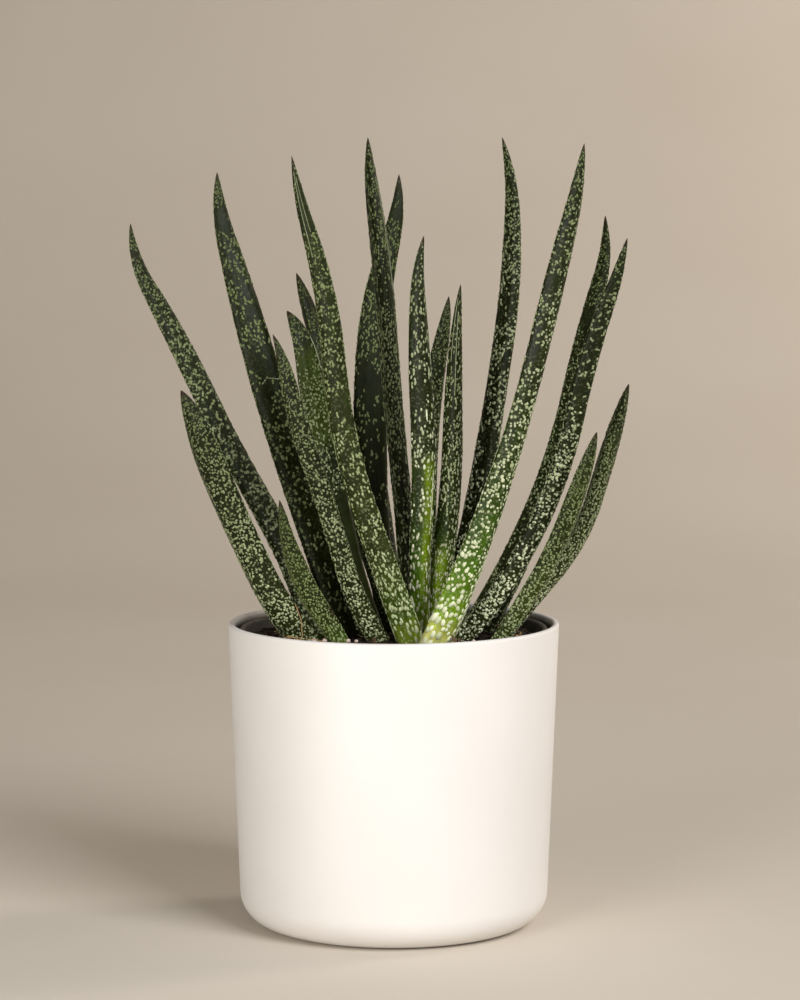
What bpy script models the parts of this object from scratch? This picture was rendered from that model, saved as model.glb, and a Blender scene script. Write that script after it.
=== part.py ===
"""Potted gasteria: a clump of warty, keeled leaves in a nursery pot that stands in a plain white cover pot.

Metres, +Z up. The origin is the middle of the cover pot's flat underside, and the viewer stands at -Y.
"""
import math
import random

import bmesh
import bpy
from mathutils import Vector

MM = 0.001
MERGE = 0.01 * MM
SHARP_ANGLE = math.radians(40)

# Cover pot
POT_HEIGHT = 128.5 * MM
POT_RIM_RADIUS = 70.0 * MM
POT_FOOT_RADIUS = 65.5 * MM      # where the tapered wall meets the rounded foot
POT_FOOT_ROUND = 14.0 * MM
POT_WALL = 2.6 * MM
POT_FLOOR = 3.0 * MM
RIM_ROUND = 1.25 * MM
POT_STEPS = 56
FOOT_STEPS = 6                   # faces across the rounded foot's quarter turn
INNER_FOOT_STEPS = 4
RIM_STEPS = 3

# Nursery pot inside it
FIT = 0.3 * MM                   # clearance between pieces that touch
LINER_BOTTOM = POT_FLOOR + FIT
LINER_TOP = 126.3 * MM
LINER_BASE_RADIUS = 49.0 * MM
LINER_TOP_RADIUS = 64.2 * MM
LINER_WALL = 1.2 * MM
LINER_FLOOR = 1.6 * MM
LINER_LIP = 1.2 * MM             # how far the rolled lip stands out
LINER_LIP_HEIGHT = 7.0 * MM
LINER_EDGE = 0.4 * MM            # small chamfers on the lip
LINER_HEEL = 1.5 * MM            # chamfer where the wall meets the floor
LINER_STEPS = 44
DRAIN_RADIUS = 5.0 * MM
DRAIN_RING_RADIUS = 30.0 * MM
DRAIN_COUNT = 6
DRAIN_SIDES = 12

# Soil
SOIL_EDGE = 121.6 * MM           # height of the soil at the pot's wall
SOIL_CROWN = 124.2 * MM          # height of the soil round the leaves
SOIL_STEPS = 40
SOIL_RINGS = 11
CRUMB = 0.55 * MM                # how far the crumbs stand up
MOUND_MIDDLE = (8.0 * MM, -8.0 * MM)
LUMP_WAVES = (410.0, 350.0, 730.0, 520.0)     # waves of the uneven top, in radians a metre

# Rootstock, buried under the leaves
STOCK_TOP = 119.2 * MM
STOCK_DEPTH = 13.0 * MM
STOCK_SIDES = 14
STOCK_NARROW = 0.55              # width of a lobe's foot as a share of its top
SHOOTS = {                       # middle of each shoot and the radius of its lobe, mm
    "left": (-26.0, -12.0, 15.0),
    "inner": (-6.0, -7.0, 15.0),
    "front": (12.0, -22.0, 14.0),
    "back": (11.0, 12.0, 15.0),
    "right": (33.0, -13.0, 15.0),
}

# Leaves
LEAF_ROOT = 119.5 * MM           # height of the cut base of every leaf
LEAF_RINGS = 25
RING_EASE = 1.25                 # above 1, the rings lie closer together toward the tip
LINE_STEPS = 120                 # steps along the curved centreline
HOLE_REACH = 26.0 * MM           # length of leaf that its hole in the soil is cut for
HOLE_RINGS = 5
HOLE_GAP = 0.5 * MM
SWELL_REACH = 0.5                # share of the length over which the base's swelling fades
SWELL_THICK = 0.5                # share of the swelling that the thickness takes
LEAF_PLUMP = 0.95                # the thickness is never more than this share of the width
TIP_CURVE = 2.3                  # how the sides draw in along the taper
TIP_BLUNT = 0.75                 # below 1, the tip is blunter
WART = 0.38 * MM                 # height of the raised warts
WART_START = 13.0 * MM           # the warts begin this far above the base
WART_FADE_IN = 4.0 * MM
WART_FADE_OUT = 14.0 * MM        # length below the tip where they fade out
WART_CHANCE = 0.18               # share of the points that carry a wart between the bands
BAND_CHANCE = 0.42               # added in the middle of a band
RIDGE_CHANCE = 0.25              # added on the margins and the keel
BAND_PITCH = 13.0 * MM           # the warts lie in bands across the leaf

# The leaf's cross-section as shares of half the width and of the thickness. It starts at one margin,
# crosses the channelled inner face, and returns round the keeled outer face.
SECTION = [
    (1.00, 0.24), (0.58, 0.50), (0.00, 0.38), (-0.58, 0.50), (-1.00, 0.24),
    (-0.86, -0.02), (-0.48, -0.32), (0.00, -0.50), (0.48, -0.32), (0.86, -0.02),
]
RIDGES = (0, 4, 7)               # both margins and the keel


class Leaf:
    """One leaf. Lengths are in mm and angles in degrees.

    side is the lean to the right at the shares of its length in SIDE_AT, and fore the lean toward the
    viewer at the base, the middle and the tip. facing is the plan direction of the inner face, from +X
    toward +Y. swell is the base's width over the width further up, and taper the length that narrows.
    """

    def __init__(self, shoot, root, side, fore, length, width, thick, taper, facing, swell=1.0, tone="old"):
        self.shoot, self.root, self.side, self.fore = shoot, root, side, fore
        self.length, self.width, self.thick, self.taper = length, width, thick, taper
        self.facing, self.swell, self.tone = facing, swell, tone


SIDE_AT = (0.0, 0.3, 0.6, 0.85, 1.0)
FORE_AT = (0.0, 0.5, 1.0)

LEAVES = [
    Leaf("left", (-32, -7), (-14, -29.5, -25.5, -29, -0.5), (-0.5, -2.5, -4.5), 195, 11.5, 7.5, 84, -45, 1.25),
    Leaf("left", (-34.5, -21), (-43.5, -25, -22.5, -18, -22.5), (9, 11, 9.5), 124, 17.0, 8.5, 38, 45, 1.05),
    Leaf("left", (-17.5, 1.5), (-20, -19, -16, -15.5, 0), (-6.5, -7.5, -8.5), 209, 15.0, 8.5, 114, -65),
    Leaf("left", (-21, -27), (-28.5, -32.5, -19.5, -9, -9.5), (12, 10, 6), 71, 12.0, 8.0, 73, 60, 0.7, "mid"),
    Leaf("inner", (-4, -24), (-33.5, -15.5, -19, -11.5, -21.5), (10, 8, 6), 142, 11.0, 7.5, 54, 35, 1.05),
    Leaf("inner", (-8.5, -8), (-22.5, -11.5, -11.5, -10, -32.5), (2, 0, -2), 146, 13.5, 8.5, 38, -50, 1.05),
    Leaf("inner", (1, 6), (-16.5, -19, -8.5, -17.5, -17.5), (-6, -8, -8), 163, 11.0, 7.5, 40, -30, 1.05),
    Leaf("inner", (-12, 14), (-13, -17, -18, -17, -16), (-14.5, -18.5, -18.5), 112, 12.0, 8.0, 60, -70),
    Leaf("front", (8, -30.5), (-20, -18, -4.5, -16, -7.5), (10.5, 6.5, 4.5), 213, 13.5, 8.5, 116, 40, 1.2,
         "mid"),
    Leaf("front", (11.5, -20.5), (-2, 3.5, -3.5, -1.5, 11.5), (5, 3, 2), 173, 11.0, 7.5, 90, 115, 0.8, "young"),
    Leaf("front", (13.5, -13), (13.5, 7, 0.5, 3, 6), (6, 4, 2.5), 154, 9.0, 6.5, 98, 100, 1.1, "young"),
    Leaf("front", (16, -40.5), (24, 19, 13.5, 13, 5.5), (7, 5.5, 3.5), 220, 10.3, 7.5, 74, 125, 1.5,
         "young"),
    Leaf("front", (14, 0), (-2, -0.5, 3.5, 12.5, 9.5), (-5, -7, -8), 148, 10.5, 7.0, 52, -50),
    Leaf("front", (6.5, -5.5), (1, -6, -4, -8, -4), (-2.5, -1.5, -1.5), 214, 11.5, 7.5, 60, 200, 0.95),
    Leaf("back", (0, 19.5), (-14, -3.5, 2.5, 16, -1), (-5.5, -7, -7), 201, 15.0, 8.5, 122, -80, 0.65),
    Leaf("back", (22, 5), (16, 10.5, 8, -1, -17), (-2.5, -3.5, -3.5), 217, 11.0, 7.5, 90, 225, 1.3),
    Leaf("back", (0, 29.5), (-9, -8, -5, -2, 0), (-15, -19, -19), 90, 12.0, 8.0, 65, -85),
    Leaf("back", (24, 17.5), (9, 14, 16, 16, 16), (-13, -17, -17), 76, 12.0, 8.0, 55, 250),
    Leaf("right", (28.5, -7.5), (34, 25, 12.5, 14, -7), (-2.5, -2.5, -2.5), 193, 11.0, 7.5, 76, 225, 0.85),
    Leaf("right", (25.5, -20.5), (42, 26.5, 11, 19.5, 11), (9.5, 7.5, 5.5), 189, 9.8, 7.5, 64, 140),
    Leaf("right", (42, -26), (31.5, 30.5, 20.5, 16.5, 12.5), (12, 12, 10), 104, 9.5, 6.5, 38, 130, 0.85),
    Leaf("right", (42.5, -12), (39, 39.5, 16.5, 16, 15), (0, 2, 2), 126, 10.0, 7.0, 38, 190, 0.7),
    Leaf("right", (34.5, 9), (36, 27, 21, 19, 19), (-12, -17.5, -15.5), 100, 12.0, 8.0, 65, 230),
]

TONES = {"old": (0.030, 0.045, 0.020), "mid": (0.045, 0.070, 0.024), "young": (0.085, 0.140, 0.030)}


def clear_scene():
    for thing in list(bpy.data.objects):
        bpy.data.objects.remove(thing, do_unlink=True)


def new_collection(name):
    collection = bpy.data.collections.new(name)
    bpy.context.scene.collection.children.link(collection)
    return collection


def material(name, colour, roughness):
    mat = bpy.data.materials.new(name)
    mat.use_nodes = True
    shader = mat.node_tree.nodes["Principled BSDF"]
    shader.inputs["Base Color"].default_value = (*colour, 1.0)
    shader.inputs["Roughness"].default_value = roughness
    shader.inputs["Metallic"].default_value = 0.0
    mat.diffuse_color = (*colour, 1.0)
    return mat


def add_object(name, bm, collection, mat=None):
    """Turn a finished bmesh into a named object, with its faces pointing out."""
    bmesh.ops.recalc_face_normals(bm, faces=bm.faces)
    mesh = bpy.data.meshes.new(name)
    bm.to_mesh(mesh)
    bm.free()
    mesh.shade_smooth()
    mesh.set_sharp_from_angle(angle=SHARP_ANGLE)
    thing = bpy.data.objects.new(name, mesh)
    collection.objects.link(thing)
    if mat:
        mesh.materials.append(mat)
    return thing


def as_cutter(thing):
    thing.hide_render = True
    thing.display_type = "WIRE"
    return thing


def arc(centre, radius, start, end, steps):
    """Points on an arc in the profile plane, both ends included. Angles are in degrees."""
    points = []
    for i in range(steps + 1):
        a = math.radians(start + (end - start) * i / steps)
        points.append((centre[0] + radius * math.cos(a), centre[1] + radius * math.sin(a)))
    return points


def turned(name, outline, steps, collection, mat):
    """Turn a pot's closed outline of (radius, height) points round the axis that two of them lie on."""
    below, above = [i for i, point in enumerate(outline) if point[0] == 0.0]
    bm = bmesh.new()
    verts = [bm.verts.new((r, 0.0, z)) for r, z in outline[above:] + outline[:below + 1]]
    for first, second in zip(verts, verts[1:]):
        bm.edges.new((first, second))
    mesh = bpy.data.meshes.new(name)
    bm.to_mesh(mesh)
    bm.free()
    mesh.materials.append(mat)
    thing = bpy.data.objects.new(name, mesh)
    collection.objects.link(thing)
    screw = thing.modifiers.new("turn", "SCREW")
    screw.steps = steps
    screw.render_steps = steps
    screw.use_merge_vertices = True
    screw.merge_threshold = MERGE
    return thing


def cover_pot(collection):
    """White outer pot: flat underside, rounded foot, slightly flared wall and rounded rim."""
    slope = (POT_RIM_RADIUS - POT_FOOT_RADIUS) / (POT_HEIGHT - POT_FOOT_ROUND)
    tilt = math.degrees(math.atan(slope))
    foot = arc((POT_FOOT_RADIUS - POT_FOOT_ROUND, POT_FOOT_ROUND), POT_FOOT_ROUND, -tilt, -90, FOOT_STEPS)
    rim_outer = arc((POT_RIM_RADIUS - RIM_ROUND, POT_HEIGHT - RIM_ROUND), RIM_ROUND, 90, -tilt, RIM_STEPS)
    inner_round = POT_FOOT_ROUND - POT_WALL
    inner_foot_radius = POT_FOOT_RADIUS - POT_WALL
    inner_foot = arc((inner_foot_radius - inner_round, POT_FLOOR + inner_round), inner_round, -90, -tilt,
                     INNER_FOOT_STEPS)
    inner_rim_radius = POT_RIM_RADIUS - POT_WALL
    rim_inner = arc((inner_rim_radius + RIM_ROUND, POT_HEIGHT - RIM_ROUND), RIM_ROUND, 180, 90,
                    RIM_STEPS)[:-1]
    outline = rim_outer + foot + [(0.0, 0.0), (0.0, POT_FLOOR)] + inner_foot + rim_inner
    white = material("cover pot", (0.86, 0.84, 0.79), 0.45)
    turned("cover_pot", outline, POT_STEPS, collection, white)


def nursery_pot(collection, cutters):
    """Thin grown-in pot with a rolled lip and drain holes, standing on the cover pot's floor."""
    lip_radius = LINER_TOP_RADIUS + LINER_LIP
    lip_foot = LINER_TOP - LINER_LIP_HEIGHT
    floor_top = LINER_BOTTOM + LINER_FLOOR
    inner_base = LINER_BASE_RADIUS - LINER_WALL
    inner_top = LINER_TOP_RADIUS - LINER_WALL
    outline = [
        (lip_radius - LINER_EDGE, LINER_TOP),
        (lip_radius, LINER_TOP - LINER_EDGE),
        (lip_radius - LINER_EDGE, lip_foot),
        (LINER_TOP_RADIUS - 2 * LINER_EDGE, lip_foot - 2 * LINER_EDGE),
        (LINER_BASE_RADIUS, LINER_BOTTOM + LINER_HEEL),
        (LINER_BASE_RADIUS - LINER_HEEL, LINER_BOTTOM),
        (0.0, LINER_BOTTOM),
        (0.0, floor_top),
        (inner_base - LINER_HEEL, floor_top),
        (inner_base, floor_top + LINER_HEEL),
        (inner_top, LINER_TOP - LINER_EDGE),
        (inner_top + LINER_EDGE, LINER_TOP),
    ]
    dark = material("nursery pot", (0.07, 0.065, 0.055), 0.6)
    pot = turned("nursery_pot", outline, LINER_STEPS, collection, dark)
    bm = bmesh.new()
    for i in range(DRAIN_COUNT):
        a = 2 * math.pi * (i + 0.5) / DRAIN_COUNT
        hole = bmesh.ops.create_cone(bm, cap_ends=True, segments=DRAIN_SIDES, radius1=DRAIN_RADIUS,
                                     radius2=DRAIN_RADIUS, depth=4 * LINER_FLOOR)
        centre = Vector((DRAIN_RING_RADIUS * math.cos(a), DRAIN_RING_RADIUS * math.sin(a), LINER_BOTTOM))
        bmesh.ops.translate(bm, verts=hole["verts"], vec=centre)
    drains = as_cutter(add_object("drain_holes", bm, cutters))
    cut = pot.modifiers.new("drain holes", "BOOLEAN")
    cut.object = drains


def lean(places, values, t):
    """Lean in radians at a share t of the length, read between the stated ones."""
    for i in range(len(places) - 1):
        if t <= places[i + 1]:
            break
    share = (t - places[i]) / (places[i + 1] - places[i])
    return math.radians(values[i] + (values[i + 1] - values[i]) * share)


def centreline(leaf):
    """Points and directions along the leaf, from its base at the origin to its tip."""
    point = Vector()
    points, directions = [], []
    for i in range(LINE_STEPS + 1):
        t = i / LINE_STEPS
        side, fore = lean(SIDE_AT, leaf.side, t), lean(FORE_AT, leaf.fore, t)
        direction = Vector((math.tan(side), -math.tan(fore), 1.0)).normalized()
        points.append(point.copy())
        directions.append(direction)
        point += direction * (leaf.length * MM / LINE_STEPS)
    return points, directions


def leaf_size(leaf, along):
    """Width and thickness at a distance from the base, both in metres."""
    rest = max(leaf.length * MM - along, 0.0)
    taper = (1 - (1 - min(rest / (leaf.taper * MM), 1.0)) ** TIP_CURVE) ** TIP_BLUNT
    lower = max(1 - along / (SWELL_REACH * leaf.length * MM), 0.0)
    width = leaf.width * MM * (1 + (leaf.swell - 1) * lower) * taper
    thick = leaf.thick * MM * (1 + (leaf.swell - 1) * SWELL_THICK * lower) * taper
    return width, min(thick, LEAF_PLUMP * width)


def wart_height(leaf, side, along, draw):
    """Relief at one point of the leaf: warts stand in bands, thickest on the margins and the keel."""
    band = 0.5 + 0.5 * math.sin(2 * math.pi * along / BAND_PITCH + 1.7 * leaf.length)
    chance = WART_CHANCE + BAND_CHANCE * band + (RIDGE_CHANCE if side in RIDGES else 0.0)
    fade = min(max((along - WART_START) / WART_FADE_IN, 0.0), 1.0)
    fade *= min(max((leaf.length * MM - along) / WART_FADE_OUT, 0.0), 1.0)
    return WART * fade if draw.random() < chance else 0.0


def leaf_bmesh(leaf, seed, grow=0.0, reach=None):
    """Loft the leaf's section along its centreline. grow widens it, and reach keeps only its foot."""
    points, directions = centreline(leaf)
    rings = LEAF_RINGS if reach is None else HOLE_RINGS
    sides = len(SECTION)
    draw = random.Random(seed)
    bm = bmesh.new()
    bmesh.ops.create_cone(bm, cap_ends=True, segments=sides, radius1=1.0, radius2=1.0, depth=1.0)
    uprights = [e for e in bm.edges if abs(e.verts[0].co.z - e.verts[1].co.z) > 0.5]
    bmesh.ops.subdivide_edges(bm, edges=uprights, cuts=rings - 1, use_grid_fill=True)
    inward = Vector((math.cos(math.radians(leaf.facing)), math.sin(math.radians(leaf.facing)), 0.0))
    total = leaf.length * MM
    tip_ring = []
    for vert in sorted(bm.verts, key=lambda v: (round(v.co.z, 4), round(math.atan2(v.co.y, v.co.x), 3))):
        share = vert.co.z + 0.5
        side = round(math.atan2(vert.co.y, vert.co.x) / (2 * math.pi) * sides) % sides
        ring = round(share * rings)
        along = total * (1 - (1 - share) ** RING_EASE) if reach is None else reach * share
        place = along / total * LINE_STEPS
        index = min(int(place), LINE_STEPS - 1)
        centre = points[index].lerp(points[index + 1], place - index)
        direction = directions[index].lerp(directions[index + 1], place - index).normalized()
        inner = (inward - direction * inward.dot(direction)).normalized()
        across = inner.cross(direction)
        width, thick = leaf_size(leaf, along)
        offset = across * (SECTION[side][0] * width / 2) + inner * (SECTION[side][1] * thick)
        if grow:
            offset += offset.normalized() * grow
        if reach is None and 0 < ring < rings:
            offset += offset.normalized() * wart_height(leaf, side, along, draw)
        vert.co = centre + offset
        if ring == 0:
            bottom = -FIT if grow else 0.0
            vert.co += direction * ((bottom - vert.co.z) / direction.z)
        if ring == rings and reach is None:
            tip_ring.append(vert)
    if tip_ring:
        bmesh.ops.pointmerge(bm, verts=tip_ring, merge_co=points[-1])
    return bm


def leaves(collection, cutters):
    tones = {tone: material(f"{tone} leaf", colour, 0.45) for tone, colour in TONES.items()}
    counts = {}
    for seed, leaf in enumerate(LEAVES):
        counts[leaf.shoot] = counts.get(leaf.shoot, 0) + 1
        name = f"leaf_{leaf.shoot}_{counts[leaf.shoot]}"
        blade = add_object(name, leaf_bmesh(leaf, seed), collection, tones[leaf.tone])
        hole_bm = leaf_bmesh(leaf, seed, grow=HOLE_GAP, reach=HOLE_REACH)
        hole = as_cutter(add_object("hole_" + name, hole_bm, cutters))
        blade.location = hole.location = (leaf.root[0] * MM, leaf.root[1] * MM, LEAF_ROOT)


def rootstock_lobe(name, shoot, grow, collection, mat=None):
    """One squat lobe of the rootstock, flat on top and narrower below."""
    x, y, radius = (size * MM for size in SHOOTS[shoot])
    depth = STOCK_DEPTH + 2 * grow
    bm = bmesh.new()
    bmesh.ops.create_cone(bm, cap_ends=True, segments=STOCK_SIDES, radius1=STOCK_NARROW * radius + grow,
                          radius2=radius + grow, depth=depth)
    lobe = add_object(name, bm, collection, mat)
    lobe.location = (x, y, STOCK_TOP - STOCK_DEPTH / 2)
    return lobe


def rootstock(collection, lobes, cutters):
    """The short buried stems of the five shoots, grown together, with every leaf seated on top."""
    mat = material("rootstock", (0.30, 0.22, 0.12), 0.8)
    first, *others = SHOOTS
    body = rootstock_lobe("rootstock", first, 0.0, collection, mat)
    for shoot in others:
        union = body.modifiers.new("join " + shoot, "BOOLEAN")
        union.operation = "UNION"
        union.object = as_cutter(rootstock_lobe("lobe_" + shoot, shoot, 0.0, lobes, mat))
    for shoot in SHOOTS:
        as_cutter(rootstock_lobe("hole_stock_" + shoot, shoot, FIT, cutters))


def soil_height(x, y):
    """Height of the soil's top: a low mound round the shoots, with crumbs."""
    inner_top = LINER_TOP_RADIUS - LINER_WALL
    share = min(math.hypot(x - MOUND_MIDDLE[0], y - MOUND_MIDDLE[1]) / inner_top, 1.0)
    mound = SOIL_EDGE + (SOIL_CROWN - SOIL_EDGE) * (1 - share ** 2)
    a, b, c, d = LUMP_WAVES
    lumps = math.sin(a * x + 1.3) * math.sin(b * y + 0.4) + 0.6 * math.sin(c * x - d * y)
    return mound + CRUMB * lumps


def soil(collection, cutters):
    """Peat mix that fills the nursery pot, with a crumbed top and a plain hole for each leaf."""
    slope = (LINER_TOP_RADIUS - LINER_BASE_RADIUS) / (LINER_TOP - LINER_BOTTOM)
    bottom = LINER_BOTTOM + LINER_FLOOR + FIT
    base_radius = LINER_BASE_RADIUS - LINER_WALL - 2 * FIT - LINER_HEEL
    top_radius = LINER_TOP_RADIUS - LINER_WALL - 2 * FIT - slope * (LINER_TOP - SOIL_EDGE)
    bm = bmesh.new()
    bmesh.ops.create_cone(bm, cap_ends=True, segments=SOIL_STEPS, radius1=base_radius, radius2=top_radius,
                          depth=SOIL_EDGE - bottom)
    bmesh.ops.translate(bm, verts=bm.verts, vec=Vector((0.0, 0.0, (SOIL_EDGE + bottom) / 2)))
    bm.faces.ensure_lookup_table()
    top = max(bm.faces, key=lambda face: face.calc_center_median().z)
    step = top_radius / SOIL_RINGS
    for _ in range(SOIL_RINGS - 1):
        bmesh.ops.inset_region(bm, faces=[top], thickness=step, use_even_offset=True)
    bmesh.ops.poke(bm, faces=[top])
    draw = random.Random(7)
    for vert in sorted(bm.verts, key=lambda v: (round(v.co.x, 6), round(v.co.y, 6))):
        if vert.co.z > SOIL_EDGE - MM and vert.co.xy.length < top_radius - 0.5 * step:
            vert.co.z = soil_height(vert.co.x, vert.co.y) + draw.uniform(-0.6, 0.6) * CRUMB
    body = add_object("soil", bm, collection, material("peat soil", (0.035, 0.025, 0.018), 0.95))
    cut = body.modifiers.new("leaf holes", "BOOLEAN")
    cut.operand_type = "COLLECTION"
    cut.collection = cutters


def build():
    clear_scene()
    whole = new_collection("Potted gasteria")
    drains = new_collection("drain cutters")
    lobes = new_collection("rootstock lobes")
    holes = new_collection("soil cutters")
    frame = bpy.data.objects.new("potted_gasteria", None)
    whole.objects.link(frame)
    cover_pot(whole)
    nursery_pot(whole, drains)
    leaves(whole, holes)
    rootstock(whole, lobes, holes)
    soil(whole, holes)
    for piece in whole.objects:
        if piece is not frame:
            piece.parent = frame


build()
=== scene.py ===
"""Looks of the potted gasteria: warty leaves, peat soil, both pots, stage, lights and camera.

The part's own frame is in metres, +Z up, with the viewer at -Y. Named lengths are in mm unless a comment
says otherwise.
"""

import math
import random

import bmesh
import bpy
import numpy as np
from mathutils import Matrix, Vector, noise
from mathutils.bvhtree import BVHTree


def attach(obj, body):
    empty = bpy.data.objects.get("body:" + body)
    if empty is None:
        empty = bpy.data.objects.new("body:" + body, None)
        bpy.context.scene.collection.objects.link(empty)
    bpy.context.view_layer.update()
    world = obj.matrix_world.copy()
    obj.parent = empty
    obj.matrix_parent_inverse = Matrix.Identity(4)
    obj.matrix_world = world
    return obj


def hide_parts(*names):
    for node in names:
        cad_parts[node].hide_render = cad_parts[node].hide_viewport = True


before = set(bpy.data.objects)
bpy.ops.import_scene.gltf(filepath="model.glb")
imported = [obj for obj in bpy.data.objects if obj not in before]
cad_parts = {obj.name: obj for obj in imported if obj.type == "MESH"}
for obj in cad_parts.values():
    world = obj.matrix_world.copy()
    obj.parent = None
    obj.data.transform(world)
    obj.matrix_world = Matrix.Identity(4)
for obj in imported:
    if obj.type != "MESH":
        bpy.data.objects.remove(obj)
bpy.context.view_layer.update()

MM = 0.001
LEAF_WELD = 0.004  # points closer than this are one
POT_WELD = 0.002
SOIL_WELD = 0.01
PARTS = bpy.data.collections.new("gasteria looks")
bpy.context.scene.collection.children.link(PARTS)

# Leaf shape, the same design values as the part's solids
LEAF_ROOT = 119.5
SWELL_REACH = 0.5
SWELL_THICK = 0.5
LEAF_PLUMP = 0.95
TIP_CURVE = 2.3
TIP_BLUNT = 0.75
LINE_STEPS = 240
SIDE_AT = (0.0, 0.3, 0.6, 0.85, 1.0)
FORE_AT = (0.0, 0.5, 1.0)
SECTION = [
    (1.00, 0.22), (0.58, 0.46), (0.00, 0.47), (-0.58, 0.46), (-1.00, 0.22),
    (-0.86, -0.02), (-0.48, -0.32), (0.00, -0.50), (0.48, -0.32), (0.86, -0.02),
]
RIDGES = (0, 4, 7)  # both margins and the keel, by their place in the section
SECTION_STEPS = 16  # points between two corners of the rounded section
SECTION_SQUASH = 0.75  # usual half width over thickness, for measuring round the section
ALONG_STEPS = 90
AROUND_STEPS = 34
RING_EASE = 1.25  # how much closer the rings lie toward the tip
UV_SPAN = 250.0  # length that one unit of a leaf's UV map covers, along and around alike
PROBE_AROUND = 0.02  # steps for finding which way the skin faces, in shares of the way round
PROBE_ALONG = 0.5
PROBE_STOP = 0.6  # distance from either end where it is last found
RIPPLE = 0.16  # how far the bare skin swells and dips
RIPPLE_SIZE = 4.5
RIPPLE_FOOT = 4.0  # lengths over which it begins at the foot and ends at the tip
RIPPLE_TIP = 12.0

# Warts
WART_SIDES = 6
WART_SHOULDER = 0.78  # radius of the shoulder as a share of the foot's
WART_SUNK = -0.9  # height of the foot as a share of the top's, below the skin
WART_SHOULDER_UP = 0.70
WART_FLAT = 0.38  # height over radius
WART_LEAST = 0.15  # least height
WART_FILL = 0.85  # area of a wart over that of the oval round it
TIP_LOW = 10.0  # distance from the tip where warts begin to lie lower
TIP_LOWEST = 0.4  # share of the height that is left at the tip
TIP_SMALLER = 0.3  # share by which warts are smaller there
WART_START = 2.5  # distance above the cut base
WART_STOP = 2.2  # distance below the tip
WART_END = 0.3  # the same for the edge of a wart
WART_SPREAD = 0.20
ROW_STARTS = 6000
MOST_WARTS = 1550
ROW_STEP = (1.05, 1.65)  # from one wart to the next in a row, in radii
ROW_SWAY = 55  # how much a row turns from wart to wart, in degrees
ROW_LENGTHS = (0.85, 1.25)
APART = (0.66, 1.30)  # room between rows, as a share of the radii that meet
UNEVEN = (0.5, 1.4)  # spread of the paleness, and of the streaks of a young leaf
STRAY = 0.25  # how far a wart turns, in radians, and strays from its ridge
YOUNG_REACH = 0.22  # share of a young leaf whose warts draw out into streaks
YOUNG_STRETCH = 1.6
YOUNG_GROWTH = {"mid": 1.45, "young": 2.0}
YOUNG_RISE = 1.4  # how steeply they grow toward the soil
FOOT_PALE = 2.0  # paleness at the soil, next to the leaf's own
PALE_FADE = 1.9  # how much of that is gone at the tip, partly the warts' own colour and partly painted shade for light that falls off with height
CLUSTERS = (0.11, 0.13)  # clusters of warts to a mm, around and along
BANDS = 0.075  # bands of warts to a mm, along
CLUSTER_PULL = 2.6
BAND_PULL = 2.2
GAP_PULL = 0.35
LEAST_FAVOUR = 0.03
OPEN_CHANCE = 0.6  # chance of a row on most skin, where a young leaf's foot has 1
STROKE_STRETCH = 2.6
STROKE_PITCH = 1.5  # from one wart of a pale line to the next, in half lengths of a wart
STROKE_SIZES = (0.8, 1.2)
STROKE_LENGTHS = (0.9, 1.3)
RIDGE_RADIUS = 0.45
RIDGE_PITCH = 1.5
RIDGE_CHANCE = 0.55
RIDGE_SIZES = (0.7, 1.4)
RIDGE_LENGTHS = (1.0, 1.8)
RIDGE_PALES = (0.3, 0.9)
RIDGE_GAPS = (0.7, 1.5)


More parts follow.
